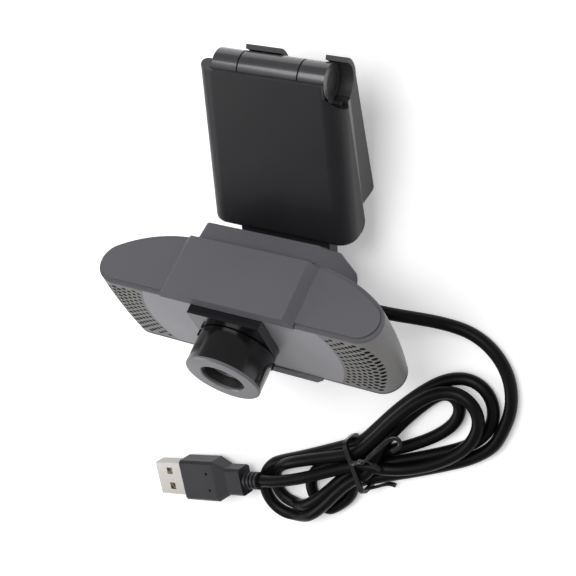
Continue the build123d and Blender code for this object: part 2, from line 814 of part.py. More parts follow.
# ---------------------------------------------------------------- hinge and tilt hardware
pin_half = hinge_half - cap_thickness
with BuildPart() as hinge_pin:
    with BuildSketch(CLIP):
        Circle(pin_radius)
    extrude(amount=pin_half, both=True)

with BuildPart() as hinge_caps:
    for high in (hinge_half - 2 * seat_gap, -pin_half):
        with BuildSketch(CLIP.offset(-high)):
            Circle(cap_radius - seat_gap / 2)
        extrude(amount=cap_thickness - 2 * seat_gap)

with BuildPart() as hinge_washers:
    for high in (knuckle_inner - seat_gap / 2, -centre_knuckle_half - seat_gap / 2):
        with BuildSketch(CLIP.offset(-high)):
            Circle(washer_radius)
            Circle(pin_radius + run_gap, mode=Mode.SUBTRACT)
        extrude(amount=knuckle_gap - seat_gap)

with BuildPart() as tilt_pin:
    with BuildSketch(CLIP):
        with Locations((tilt_along, tilt_out)):
            Circle(tilt_pin_radius)
    extrude(amount=tilt_half + move_gap + ear_thickness, both=True)

with BuildPart() as tilt_washers:
    for high in (tilt_half + move_gap - seat_gap / 2, -tilt_half - seat_gap / 2):
        with BuildSketch(CLIP.offset(-high)):
            with Locations((tilt_along, tilt_out)):
                Circle(tilt_barrel_radius)
                Circle(tilt_pin_radius + run_gap, mode=Mode.SUBTRACT)
        extrude(amount=move_gap - seat_gap)

# ---------------------------------------------------------------- clip leg
leg_front = -frame_out - seat_gap


def leg_profile(front, top):
    """Side view of the leg: thin at the hinge, thick at the heel."""
    with BuildSketch() as shape:
        with BuildLine():
            Line((top, front), (top, -leg_back_top))
            CenterArc((leg_heel_along, leg_heel_out), heel_radius, 0, 360)
            Line((leg_plate_end, front), (leg_plate_end, front + leg_front))
        make_hull()
    return shape.sketch


def wrap_sketch():
    """Section of the wall that wraps behind the hinge knuckles."""
    with BuildSketch() as shape:
        with BuildLine():
            outer = CenterArc((0, 0), lug_radius, -wrap_lead, wrap_lead - wrap_root)
            inner = CenterArc((0, 0), wrap_inner, -wrap_lead, wrap_lead - wrap_root)
            Line(outer @ 0, inner @ 0)
            Line(outer @ 1, inner @ 1)
        make_face()
    return shape.sketch


boss_reach = leg_back_top - leg_wall / 2 + leg_front
with BuildPart() as leg_shell:
    with BuildSketch(CLIP):
        add(leg_profile(leg_front, leg_top))
    extrude(amount=leg_half, both=True)
    with BuildSketch(CLIP):
        add(leg_profile(leg_wall + inner_plate, leg_hollow_top - leg_wall))
        offset(amount=-leg_wall)
    extrude(amount=leg_half - leg_wall, both=True, mode=Mode.SUBTRACT)
    with BuildSketch(FACE.offset(leg_front)):
        add(clip_screw_sketch(clip_boss_radius))
    extrude(amount=-boss_reach)
    with BuildSketch(FACE.offset(leg_front)):
        add(clip_screw_sketch(clip_screw_radius))
    extrude(amount=-boss_reach + leg_wall / 2, mode=Mode.SUBTRACT)
    for high, low in ((lug_span[1], lug_span[0]), (leg_half, shoulder_start)):
        plane, length = clip_span(high, low)
        with BuildSketch(plane):
            add(wrap_sketch())
        extrude(amount=length)
    with BuildSketch(CLIP):
        Circle(wrap_inner)
    extrude(amount=2 * leg_half, both=True, mode=Mode.SUBTRACT)

with BuildPart() as leg_frame:
    with BuildSketch(FACE.offset(-frame_out)):
        with Locations((0, -(frame_top + leg_plate_end) / 2)):
            Rectangle(2 * (leg_half + leg_lip), leg_plate_end - frame_top)
    extrude(amount=inner_plate)
    with BuildSketch(FACE.offset(-plate_gap)):
        with Locations((0, -(pad_span[0] + pad_span[1]) / 2)):
            Rectangle(2 * pad_half, pad_span[1] - pad_span[0])
    extrude(amount=-pad_thickness, mode=Mode.SUBTRACT)
    with BuildSketch(FACE.offset(-plate_gap)):
        add(clip_screw_sketch(clip_head_radius + run_gap))
    extrude(amount=-clip_head, mode=Mode.SUBTRACT)
    with BuildSketch(FACE.offset(-plate_gap)):
        add(clip_screw_sketch(clip_screw_radius + run_gap))
    extrude(amount=-inner_plate, mode=Mode.SUBTRACT)
    with BuildSketch(CLIP):
        Circle(knuckle_radius)
        with Locations(((web_span[0] + frame_top) / 2, -(plate_gap + frame_out) / 2)):
            Rectangle(frame_top - web_span[0], inner_plate)
    extrude(amount=centre_knuckle_half, both=True)
    with BuildSketch(CLIP):
        Circle(pin_radius + run_gap)
    extrude(amount=centre_knuckle_half, both=True, mode=Mode.SUBTRACT)

with BuildPart() as leg_pad:
    with BuildSketch(FACE.offset(-plate_gap)):
        with Locations((0, -(pad_span[0] + pad_span[1]) / 2)):
            Rectangle(2 * (pad_half - seat_gap), pad_span[1] - pad_span[0] - 2 * seat_gap)
    extrude(amount=-pad_thickness)

with BuildPart() as leg_screws:
    with BuildSketch(FACE.offset(-plate_gap - seat_gap)):
        add(clip_screw_sketch(clip_head_radius))
    extrude(amount=-clip_head + seat_gap)
    with BuildSketch(FACE.offset(-plate_gap - clip_head)):
        add(clip_screw_sketch(clip_screw_radius))
    extrude(amount=-(boss_reach - leg_front - plate_gap - clip_head - leg_wall / 2 - move_gap))

# ---------------------------------------------------------------- cable
lead_start = (housing_half_width + gland_length, gland_point[1], gland_point[2])
route = (lead_start, (lead_start[0] + exit_run, lead_start[1], lead_start[2])) + lead_route
runs = [Vector(*end) - Vector(*start) for start, end in zip(route, route[1:])]
radii = []
for before, after in zip(runs, runs[1:]):
    half_turn = math.radians(before.get_angle(after) / 2)
    radii.append(0.45 * min(before.length, after.length) / math.tan(half_turn))
print("lead radii, mm:", [round(radius, 1) for radius in radii])

with BuildPart() as cable_lead:
    with BuildLine() as lead_path:
        FilletPolyline(*route, radius=radii)
    with BuildSketch(Plane(origin=lead_start, x_dir=(0, 1, 0), z_dir=(1, 0, 0))):
        Circle(cable_diameter / 2)
    sweep(path=lead_path.line)
lead_length = sum(edge.length for edge in lead_path.line.edges())
lead_section = math.pi * cable_diameter ** 2 / 4
print("lead length, mm:", round(lead_length, 1), "volume ratio:",
      round(cable_lead.part.volume / (lead_section * lead_length), 4))

tie_turn = math.radians(tie_angle)
across_dir = (-math.sin(tie_turn), math.cos(tie_turn), 0)
TIE = Plane(origin=(*tie_place, 0), x_dir=across_dir, z_dir=(math.cos(tie_turn), math.sin(tie_turn), 0))


def tie_section(inset):
    """Rectangle around the bundle at the tie."""
    width = tie_high - tie_low - 2 * inset
    height = hank_height - 2 * inset
    with BuildSketch() as shape:
        with Locations(((tie_low + tie_high) / 2, hank_height / 2)):
            RectangleRounded(width, height, tie_corner - inset / 2)
    return shape.sketch


with BuildPart() as hank_tie:
    with BuildSketch(TIE):
        add(tie_section(0))
        add(tie_section(tie_thickness), mode=Mode.SUBTRACT)
    extrude(amount=tie_width / 2, both=True)

# ---------------------------------------------------------------- plug
plug_turn = math.radians(plug_angle)
plug_rise = math.radians(plug_pitch)
plug_level = math.cos(plug_rise)
plug_dir = Vector(math.cos(plug_turn) * plug_level, math.sin(plug_turn) * plug_level, math.sin(plug_rise))
plug_across = Vector(-math.sin(plug_turn), math.cos(plug_turn), 0)
plug_up = plug_dir.cross(plug_across)
plug_tip_height = plug_half_height * plug_level - plug_shell_length * math.sin(plug_rise)
plug_origin = Vector(*plug_tip, plug_tip_height)
PLUG = Plane(origin=plug_origin, x_dir=plug_dir, z_dir=plug_up)  # x towards the cable
PLUG_END = Plane(origin=plug_origin, x_dir=plug_across, z_dir=plug_dir)  # x across, y up
shell_width, shell_height = plug_shell_size


def plug_bar(width, height, start, end):
    """A bar along the plug's axis."""
    with BuildPart() as piece:
        with BuildSketch(PLUG_END.offset(start)):
            Rectangle(width, height)
        extrude(amount=end - start)
    return piece


with BuildPart() as plug_shell:
    add(plug_bar(shell_width, shell_height, 0, plug_shell_length + shell_seat).part)
    add(plug_bar(shell_width - 2 * plug_wall, shell_height - 2 * plug_wall, 0,
                 plug_shell_length + shell_seat).part, mode=Mode.SUBTRACT)
    with BuildSketch(PLUG):
        with Locations((plug_hole_place[0], plug_hole_place[1]), (plug_hole_place[0], -plug_hole_place[1])):
            Rectangle(plug_hole_size, plug_hole_size)
    extrude(amount=shell_height, both=True, mode=Mode.SUBTRACT)

tongue_width = shell_width - 2 * plug_wall - seat_gap
tongue_top = tongue_thickness - shell_height / 2 + plug_wall
with BuildPart() as plug_tongue:
    with BuildSketch(PLUG_END.offset(tongue_start)):
        with Locations((0, tongue_top - tongue_thickness / 2 + seat_gap / 4)):
            Rectangle(tongue_width, tongue_thickness - seat_gap / 2)
    extrude(amount=plug_shell_length - tongue_start)
    with BuildSketch(PLUG_END.offset(plug_shell_length)):
        Rectangle(tongue_width, shell_height - 2 * plug_wall - seat_gap)
    extrude(amount=shell_seat - seat_gap)

with BuildPart() as plug_contacts:
    with BuildSketch(PLUG.offset(tongue_top)):
        with Locations((tongue_start + seat_gap + contact_size[0] / 2 + contact_size[1] / 2, 0)):
            with GridLocations(0, contact_pitch, 1, 4):
                Rectangle(contact_size[0], contact_size[1])
    extrude(amount=contact_size[2])

with BuildPart() as plug_body:
    with BuildSketch(PLUG.offset(-plug_half_height)):
        with BuildLine():
            Polyline(
                (plug_shell_length, -plug_half_width), (plug_shoulder, -plug_half_width),
                (plug_neck_start, -plug_neck_half), (plug_neck_end, -plug_neck_half),
                (plug_neck_end, plug_neck_half), (plug_neck_start, plug_neck_half),
                (plug_shoulder, plug_half_width), (plug_shell_length, plug_half_width),
                (plug_shell_length, -plug_half_width),
            )
        make_face()
    extrude(amount=2 * plug_half_height)
    with BuildSketch(Plane(origin=plug_origin, x_dir=plug_dir, z_dir=plug_across)):
        with BuildLine():
            Polyline(
                (plug_shell_length, -plug_half_height), (plug_shoulder, -plug_half_height),
                (plug_neck_start, -plug_neck_height), (plug_neck_end, -plug_neck_height),
                (plug_neck_end, plug_neck_height), (plug_neck_start, plug_neck_height),
                (plug_shoulder, plug_half_height), (plug_shell_length, plug_half_height),
                (plug_shell_length, -plug_half_height),
            )
        make_face()
    extrude(amount=2 * plug_half_width, both=True, mode=Mode.INTERSECT)
    chamfer(edges().filter_by(lambda edge: abs(edge.tangent_at(0).dot(plug_dir)) > 0.85
                              and abs((edge.center() - plug_origin).dot(plug_up)) > 1), plug_edge_chamfer)
    add(plug_bar(shell_width + seat_gap, shell_height + seat_gap, plug_shell_length,
                 plug_shell_length + shell_seat + seat_gap).part, mode=Mode.SUBTRACT)
    with BuildSketch(PLUG.offset(plug_half_height)):
        with Locations((plug_pit[0], plug_pit[1]), (plug_pit[0], -plug_pit[1])):
            Circle(plug_pit[2])
    extrude(amount=-plug_pit[3], mode=Mode.SUBTRACT)

with BuildPart() as strain_relief:
    with BuildSketch(PLUG_END.offset(plug_neck_end)):
        Circle(relief_radius)
    extrude(amount=relief_end - plug_neck_end)
    for ring in range(relief_rings):
        with BuildSketch(PLUG_END.offset(plug_neck_end + (ring + 1) * relief_pitch - relief_ring[1])):
            Circle(relief_ring[0])
        extrude(amount=relief_ring[1])


def face_corners(middle, direction, half):
    """The two ends of a short straight edge across a direction, on the table plane."""
    turned = Vector(-direction.Y, direction.X, 0).normalized()
    centre = Vector(middle.X, middle.Y, 0)
    return centre - turned * half, centre + turned * half


relief_face = plug_origin + plug_dir * relief_end - plug_up * relief_ring[0]
plug_corners = face_corners(relief_face, plug_dir, plug_face_half)
lead_corners = face_corners(Vector(*route[-1]), -runs[-1], lead_face_half)
with BuildPart() as cable_hank:
    with BuildSketch():
        with BuildLine():
            Spline(plug_corners[1], *hank_upper, lead_corners[1])
            Line(lead_corners[1], lead_corners[0])
            Spline(lead_corners[0], *hank_lower, plug_corners[0])
            Line(plug_corners[0], plug_corners[1])
        make_face()
    extrude(amount=hank_height)
    with BuildSketch(TIE):
        with Locations((0, hank_height / 2)):
            Rectangle(4 * tie_high, 2 * hank_height)
        add(tie_section(tie_thickness + hank_core_gap), mode=Mode.SUBTRACT)
    extrude(amount=tie_width / 2 + hank_core_gap, both=True, mode=Mode.SUBTRACT)

# ---------------------------------------------------------------- files
pieces = {
    "front_plate": front_plate, "left_end_shell": left_end_shell, "right_end_shell": right_end_shell,
    "top_cover": top_cover, "bottom_cover": bottom_cover, "inner_frame": inner_frame,
    "rear_housing": rear_housing, "tilt_neck": tilt_neck, "cable_gland": cable_gland,
    "barrel_base": barrel_base, "focus_ring": focus_ring, "lens_bezel": lens_bezel,
    "lens_hood": lens_hood, "lens_cell": lens_cell, "front_lens": front_lens,
    "middle_lens": middle_lens, "rear_lens": rear_lens, "lens_spacer": lens_spacer,
    "lens_retainer": lens_retainer, "lens_holder": lens_holder, "ir_filter": ir_filter,
    "image_sensor": image_sensor, "main_board": main_board, "board_chips": board_chips,
    "cable_connector": cable_connector, "board_screws": board_screws, "left_mic_boot": left_mic_boot,
    "right_mic_boot": right_mic_boot, "left_microphone": left_microphone,
    "right_microphone": right_microphone, "left_cloth": left_cloth, "right_cloth": right_cloth,
    "bracket_shell": bracket_shell, "bracket_frame": bracket_frame, "bracket_pad": bracket_pad,
    "bracket_screws": bracket_screws, "hinge_pin": hinge_pin, "hinge_caps": hinge_caps,
    "hinge_washers": hinge_washers, "tilt_pin": tilt_pin, "tilt_washers": tilt_washers,
    "leg_shell": leg_shell, "leg_frame": leg_frame, "leg_pad": leg_pad, "leg_screws": leg_screws,
    "cable_lead": cable_lead, "cable_hank": cable_hank, "hank_tie": hank_tie,
    "plug_shell": plug_shell, "plug_tongue": plug_tongue, "plug_contacts": plug_contacts,
    "plug_body": plug_body, "strain_relief": strain_relief,
}
for name, piece in pieces.items():
    piece.part.label = name
    export_step(piece.part, f"parts/{name}.step")
print(len(pieces), "nodes; lens raised", round(math.degrees(lens_elevation), 2), "degrees")
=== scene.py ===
# %% [markdown]
# # A clip-on webcam with a tied lead
# The webcam lies folded on a table: a wide head with a grille in each end, a barrel lens aimed upwards, a
# folding clip behind it, and a lead that is folded into a bundle and ends in a flat plug.
# The exact parts come from the packed model. This lesson adds what makes them look real: the bendy lead, the
# grille holes, a finish for every piece, the table, the light and the camera.

# %% Load the packed model
import json
import math
import bmesh
import bpy
from mathutils import Matrix, Vector


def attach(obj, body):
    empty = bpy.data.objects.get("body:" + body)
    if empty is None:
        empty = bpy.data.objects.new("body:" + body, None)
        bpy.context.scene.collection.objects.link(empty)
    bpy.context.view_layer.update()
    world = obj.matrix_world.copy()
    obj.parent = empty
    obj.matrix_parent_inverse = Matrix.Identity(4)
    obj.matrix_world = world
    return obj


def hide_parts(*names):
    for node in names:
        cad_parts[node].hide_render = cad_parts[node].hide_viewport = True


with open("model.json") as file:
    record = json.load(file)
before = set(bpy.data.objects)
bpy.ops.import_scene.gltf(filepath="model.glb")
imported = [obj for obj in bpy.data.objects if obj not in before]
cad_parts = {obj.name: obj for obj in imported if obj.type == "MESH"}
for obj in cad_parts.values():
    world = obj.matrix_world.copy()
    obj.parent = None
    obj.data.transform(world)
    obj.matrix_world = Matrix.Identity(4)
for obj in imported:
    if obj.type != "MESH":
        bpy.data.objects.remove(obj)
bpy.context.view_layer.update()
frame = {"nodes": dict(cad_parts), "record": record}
MM = 0.001

# %% [markdown]
# ## The camera
# The camera comes first, because everything else is judged through it. It looks down on the webcam from the
# front right. Its three directions are written out and put into one matrix: right, up, and back.

# %% Place the camera
camera_place = Vector((167.59, 102.94, 335.86)) * MM
camera_up = Vector((-0.2052, 0.9417, -0.2666)).normalized()
camera_back = Vector((0.4315, 0.3315, 0.839)).normalized()
camera_right = camera_up.cross(camera_back).normalized()
camera_up = camera_back.cross(camera_right)
camera_data = bpy.data.cameras.new("camera")
camera_data.sensor_width = 36.0
camera_data.lens = 76.07
camera = bpy.data.objects.new("camera", camera_data)
bpy.context.scene.collection.objects.link(camera)
turn = Matrix((camera_right, camera_up, camera_back)).transposed()
camera.matrix_world = Matrix.Translation(camera_place) @ turn.to_4x4()
bpy.context.scene.camera = camera
print("camera at", tuple(round(value, 4) for value in camera_place))

# %% [markdown]
# ## The lead
# The real lead is one soft cable, 4.1 mm thick. It leaves a gland behind the right wing, drops to the table in
# one free arc, is folded back and forth into a bundle, and ends in the plug. A NURBS curve suits it, because a
# smooth spline bends as a cable does. The bundle is easier to think about in its own directions: along it,
# across it and up, all measured in millimetres from the tie.

# %% The bundle's own directions
TIE_PLACE = Vector((27.0, -81.3, 0.0))
TIE_ANGLE = math.radians(26.05)
ALONG = Vector((math.cos(TIE_ANGLE), math.sin(TIE_ANGLE), 0.0))
ACROSS = Vector((-math.sin(TIE_ANGLE), math.cos(TIE_ANGLE), 0.0))
UP = Vector((0.0, 0.0, 1.0))
CABLE_RADIUS = 2.05


def bundle_point(along, across, height):
    """A place in the bundle, as a point of the model in millimetres."""
    return TIE_PLACE + ALONG * along + ACROSS * across + UP * height


print("bundle runs along", tuple(round(value, 3) for value in ALONG))

# %% [markdown]
# The free arc repeats the route of the exact part, so that the drawn cable lies where the solid one does.

# %% The free arc from the gland
GLAND_END = (28.25, -25.968, 11.521)
free_arc = [
    GLAND_END, (35.45, -25.968, 11.521), (43.5, -26.9, 7.4), (51.0, -28.0, 3.6),
    (58.5, -29.3, 2.05), (65.0, -32.0, 2.05), (70.5, -37.0, 2.05), (73.9, -43.4, 2.05),
    (75.0, -51.5, 2.05), (72.9, -60.0, 2.05),
]
print("free arc has", len(free_arc), "points")

# %% [markdown]
# Each fold is a turn of steady radius. A loop works out its points, so that a turn is round without a long
# list, and its height can change on the way round.


# %% One fold of the bundle
def fold(centre, radius, start, end, heights, points=9):
    """Points round a turn, from one angle to another, in degrees seen from above."""
    turn_points = []
    for step in range(points):
        share = step / (points - 1)
        angle = math.radians(start + (end - start) * share)
        height = heights[0] + (heights[1] - heights[0]) * share
        along = centre[0] + radius * math.cos(angle)
        across = centre[1] + radius * math.sin(angle)
        turn_points.append((along, across, height))
    return turn_points


TABLE = CABLE_RADIUS  # height of a strand that lies on the table
LOWER = 3.15  # the two layers held in the tie
UPPER = 6.75
print("example fold:", len(fold((0, 0), 8, -100, -260, (TABLE, TABLE))), "points")

# %% [markdown]
# Seven strands pass through the tie: four in the lower layer and three lying in the grooves between them. Each
# pair of strands is joined by a loop, and loops that cross do it in a long low hump.

# %% The folds, in the order in which the cable was bundled
bundle = [(46, -5, TABLE), (38, -7.2, TABLE), (28, -7.8, TABLE), (16, -8.0, TABLE), (7, -7.7, 2.6)]
bundle += [(2, -7.5, LOWER), (-2, -7.5, LOWER), (-6, -8.8, 2.6), (-9.5, -13.2, TABLE)]
bundle += fold((-15, -9), 8.2, -115, -262, (TABLE, TABLE))
bundle += [(-8, 0.0, 2.3), (-2, 0.9, LOWER), (3, 0.9, LOWER), (9, 0.5, 2.4), (18, 0.6, TABLE)]
bundle += [(28, 2.0, TABLE), (35, 4.3, TABLE), (39, 7.4, TABLE), (40.4, 11.2, TABLE), (38.6, 14.6, TABLE)]
bundle += [(34.5, 15.4, TABLE), (27.5, 12.9, TABLE), (18, 8.4, 2.6), (10, 3.4, 4.8), (4, -4.4, UPPER)]
bundle += [(-3, -5.6, UPPER), (-10, -8.6, 6.6), (-17, -12.6, 6.4), (-24, -15.6, 6.2)]
bundle += [(-29, -16.6, 3.8), (-33, -16.2, TABLE)]
bundle += fold((-31.5, -6.2), 10.1, -118, -268, (TABLE, TABLE))
bundle += [(-21, 3.9, TABLE), (-10, 4.5, 2.3), (-3, 5.1, LOWER), (3, 5.4, LOWER), (9, 8.4, 2.5)]
bundle += [(18, 13.0, TABLE), (28.5, 17.2, TABLE), (38, 19.6, TABLE), (45.4, 18.7, TABLE), (49.8, 14.9, TABLE)]
bundle += [(51.2, 9.6, TABLE), (49.8, 4.2, TABLE), (46, 0.2, TABLE), (39, -2.9, TABLE), (28, -3.7, TABLE)]
bundle += [(16, -3.8, TABLE), (7, -3.4, 2.6), (2, -3.3, LOWER), (-3, -3.6, LOWER), (-8, -5.2, 4.6)]
bundle += [(-13, -7.6, 6.2), (-19, -10.4, 6.4), (-25, -12.0, 6.0), (-29, -12.5, 3.4)]
bundle += fold((-28.5, -4.5), 7.9, -112, -225, (TABLE, TABLE), points=7)
bundle += [(-31, 2.5, 3.2), (-26, 3.6, 5.6), (-19, 3.6, 6.15), (-10, 3.2, 6.3), (-3, 3.0, UPPER)]
bundle += [(3, 3.3, UPPER), (10, 6.6, 6.2), (18, 11.0, 5.8), (28, 15.3, 5.8), (36.5, 17.2, 5.9)]
bundle += [(43, 15.6, 6.0), (46.8, 10.6, 6.1), (46.6, 4.2, 6.1), (40.5, -2.2, 6.0), (29, -5.6, 5.7)]
bundle += [(17, -6.0, 5.7), (8, -4.2, 6.1), (3, -1.6, UPPER), (-3, -1.1, UPPER), (-12, -1.5, 7.2)]
bundle += [(-22, -1.9, 7.8), (-32, -1.4, 7.9), (-36.5, -0.72, 7.5), (-40.5, -0.07, 7.05)]
print("bundle has", len(bundle), "points")

# %% [markdown]
# The spline's order is set after its points are added. Order 3 keeps the line inside the corners that its
# points make. Each point carries the cable's radius and the bevel's depth is one, because Blender adds a
# point's radius to the curve's box, and a radius left at one metre would make that box far too large.

# %% Draw the lead
lead_points = [Vector(point) for point in free_arc] + [bundle_point(*point) for point in bundle]


def nurbs_curve(name, points, radius, resolution=6):
    """A round NURBS tube through the reach of these points, given in millimetres."""
    curve = bpy.data.curves.new(name, "CURVE")
    curve.dimensions = "3D"
    curve.bevel_depth = 1.0
    curve.bevel_resolution = 5
    curve.resolution_u = resolution
    curve.use_fill_caps = True
    spline = curve.splines.new("NURBS")
    spline.points.add(len(points) - 1)
    for control, point in zip(spline.points, points):
        control.co = (*(point * MM), 1.0)
        control.radius = radius * MM
    spline.order_u = 3
    spline.use_endpoint_u = True
    piece = bpy.data.objects.new(name, curve)
    bpy.context.scene.collection.objects.link(piece)
    return piece


webcam_lead = nurbs_curve("webcam_lead", lead_points, CABLE_RADIUS)
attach(webcam_lead, "head")
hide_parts("cable_lead", "cable_hank")
print("lead has", len(lead_points), "points")


# %% [markdown]
# ## Measure the lead
# The cable has one true length. The curve without its thickness is turned into a mesh of short edges, and
# their lengths are added up.


# %% Length of the lead
def curve_length(piece):
    """Length of a curve object's centre line, in metres."""
    depth = piece.data.bevel_depth
    piece.data.bevel_depth = 0.0
    bpy.context.view_layer.update()
    mesh = bpy.data.meshes.new_from_object(piece.evaluated_get(bpy.context.evaluated_depsgraph_get()))
    length = sum((mesh.vertices[edge.vertices[0]].co - mesh.vertices[edge.vertices[1]].co).length
                 for edge in mesh.edges)
    bpy.data.meshes.remove(mesh)
    piece.data.bevel_depth = depth
    return length


lead_length = curve_length(webcam_lead)
print("lead length, m:", round(lead_length, 4))

# %% [markdown]
# ## The tie's loose ends
# The band round the bundle is in the exact model. On the real tie the two ends are twisted together and stick
# out, one in a small curl. A flat ribbon is a curve with a short extrusion and a small bevel, and its tilt
# turns it over as a twisted tie does.


# %% Ribbons for the tie's ends
def ribbon(name, points, tilts):
    """A flat ribbon, in bundle millimetres, turned over by these tilts in degrees."""
    piece = nurbs_curve(name, [bundle_point(*point) for point in points], 0.42)
    piece.data.extrude = 0.9  # in radii
    piece.data.bevel_resolution = 2
    for control, tilt in zip(piece.data.splines[0].points, tilts):
        control.tilt = math.radians(tilt)
    bpy.context.view_layer.update()
    mesh = bpy.data.meshes.new_from_object(piece.evaluated_get(bpy.context.evaluated_depsgraph_get()))
    bpy.data.objects.remove(piece)
    mesh.name = name
    solid = bpy.data.objects.new(name, mesh)
    bpy.context.scene.collection.objects.link(solid)
    for face in mesh.polygons:
        face.use_smooth = True
    return solid


curl_points = [(0.4, 0.6, 9.6), (1.6, 1.4, 10.4), (3.0, 0.6, 10.9), (4.4, 1.6, 10.6), (5.8, 0.9, 10.6),
               (8.5, 2.4, 10.4), (12.5, 4.4, 9.8), (16.2, 6.2, 9.2), (18.6, 6.2, 8.8), (19.6, 4.4, 8.6),
               (18.4, 2.6, 8.7), (15.6, 2.2, 9.0)]
tail_points = [(0.4, 1.2, 9.6), (1.6, 0.4, 10.7), (3.0, 1.4, 10.4), (4.4, 0.6, 10.9), (5.8, 1.3, 10.5),
               (7.4, 0.2, 10.0), (8.6, -1.6, 9.7), (9.4, -3.4, 9.4)]
wire_points = [(0.0, -10.2, 5.0), (2.0, -10.6, 3.6), (4.4, -10.7, 2.2), (6.8, -11.0, 1.2), (8.0, -12.2, 0.9)]
tie_curl = ribbon("tie_curl", curl_points, [0, 90, 180, 270, 360, 400, 440, 450, 450, 450, 450, 450])
tie_tail = ribbon("tie_tail", tail_points, [0, 90, 180, 270, 360, 400, 430, 450])
tie_wire = ribbon("tie_wire", wire_points, [0, 0, 0, 40, 80])
tie_ends = (tie_curl, tie_tail, tie_wire)
for tie_piece in tie_ends:
    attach(tie_piece, "head")
print("tie ends:", sum(len(tie_piece.data.vertices) for tie_piece in tie_ends), "vertices")

# %% [markdown]
# ## Arithmetic on sockets
# Shader and geometry trees are easier to read as sums than as wiring. `Link` wraps one output socket, and each
# operator adds one Math node. The reflected forms let a plain number stand on the left, as in `1 - mask`.


# %% Links and trees
class Link:
    """An output socket that takes part in sums."""

    def __init__(self, tree, socket):
        self.tree = tree
        self.socket = socket

    def other(self, name):
        """Another output of the same node."""
        return Link(self.tree, self.socket.node.outputs[name])

    def math(self, operation, first, second=0.0):
        return self.tree.node(
            "ShaderNodeMath", {"operation": operation}, {0: first, 1: second})

    def __add__(self, value):
        return self.math("ADD", self, value)

    __radd__ = __add__

    def __sub__(self, value):
        return self.math("SUBTRACT", self, value)

    def __rsub__(self, value):
        return self.math("SUBTRACT", value, self)

    def __mul__(self, value):
        return self.math("MULTIPLY", self, value)

    __rmul__ = __mul__

    def __truediv__(self, value):
        return self.math("DIVIDE", self, value)

    def __mod__(self, value):
        return self.math("MODULO", self, value)

    def floor(self):
        return self.math("FLOOR", self)

    def above(self, value):
        return self.math("GREATER_THAN", self, value)


class Tree:
    """A node tree with one way to add a node: its type, its settings, then its sockets."""

    def __init__(self, tree):
        self.tree = tree

    def node(self, kind, settings=None, inputs=None, output=0):
        made = self.tree.nodes.new(kind)
        for name, value in (settings or {}).items():
            if name == "stops":
                for place, (position, colour) in enumerate(value):
                    stops = made.color_ramp.elements
                    stop = stops[place] if place < len(stops) else stops.new(position)
                    stop.position, stop.color = position, (*colour, 1.0)
            else:
                setattr(made, name, value)
        for name, value in (inputs or {}).items():
            for item in value if isinstance(value, list) else [value]:
                if isinstance(item, Link):
                    self.tree.links.new(item.socket, made.inputs[name])
                else:
                    made.inputs[name].default_value = item
        return Link(self, made.outputs[output]) if made.outputs else None


print("links know", len([name for name in vars(Link) if name.startswith("__r")]), "reflected forms")

# %% [markdown]
# ## The grilles
# Each end of the head has about ninety oval holes in bowed columns, and every second column sits half a hole
# lower. Such a pattern is a rule, so Geometry Nodes make it: a grid of points is bowed and staggered, an oval
# cutter is put on each point, and the cutters are taken out of a copy of the shell. The holes grow towards the
# tips, as the real ones do. The cutters carry the black of the cloth behind the holes, and leave it on the
# holes' walls, because the real wall is too thin to show.

# %% The head's own directions
HEAD_PLACE = Vector((0.0, -27.185, 31.377)) * MM
LENS_RISE = math.radians(47.203)
HEAD_TURN = math.pi / 2 - LENS_RISE  # from the table's plane to the plate's plane
GRILLE_COLUMNS = 7
GRILLE_ROWS = 13
print("head leans by", round(math.degrees(HEAD_TURN), 2), "degrees")

# %% [markdown]
# The tree's inputs are the pattern's sizes, so one tree serves both ends of the head: only the side changes.


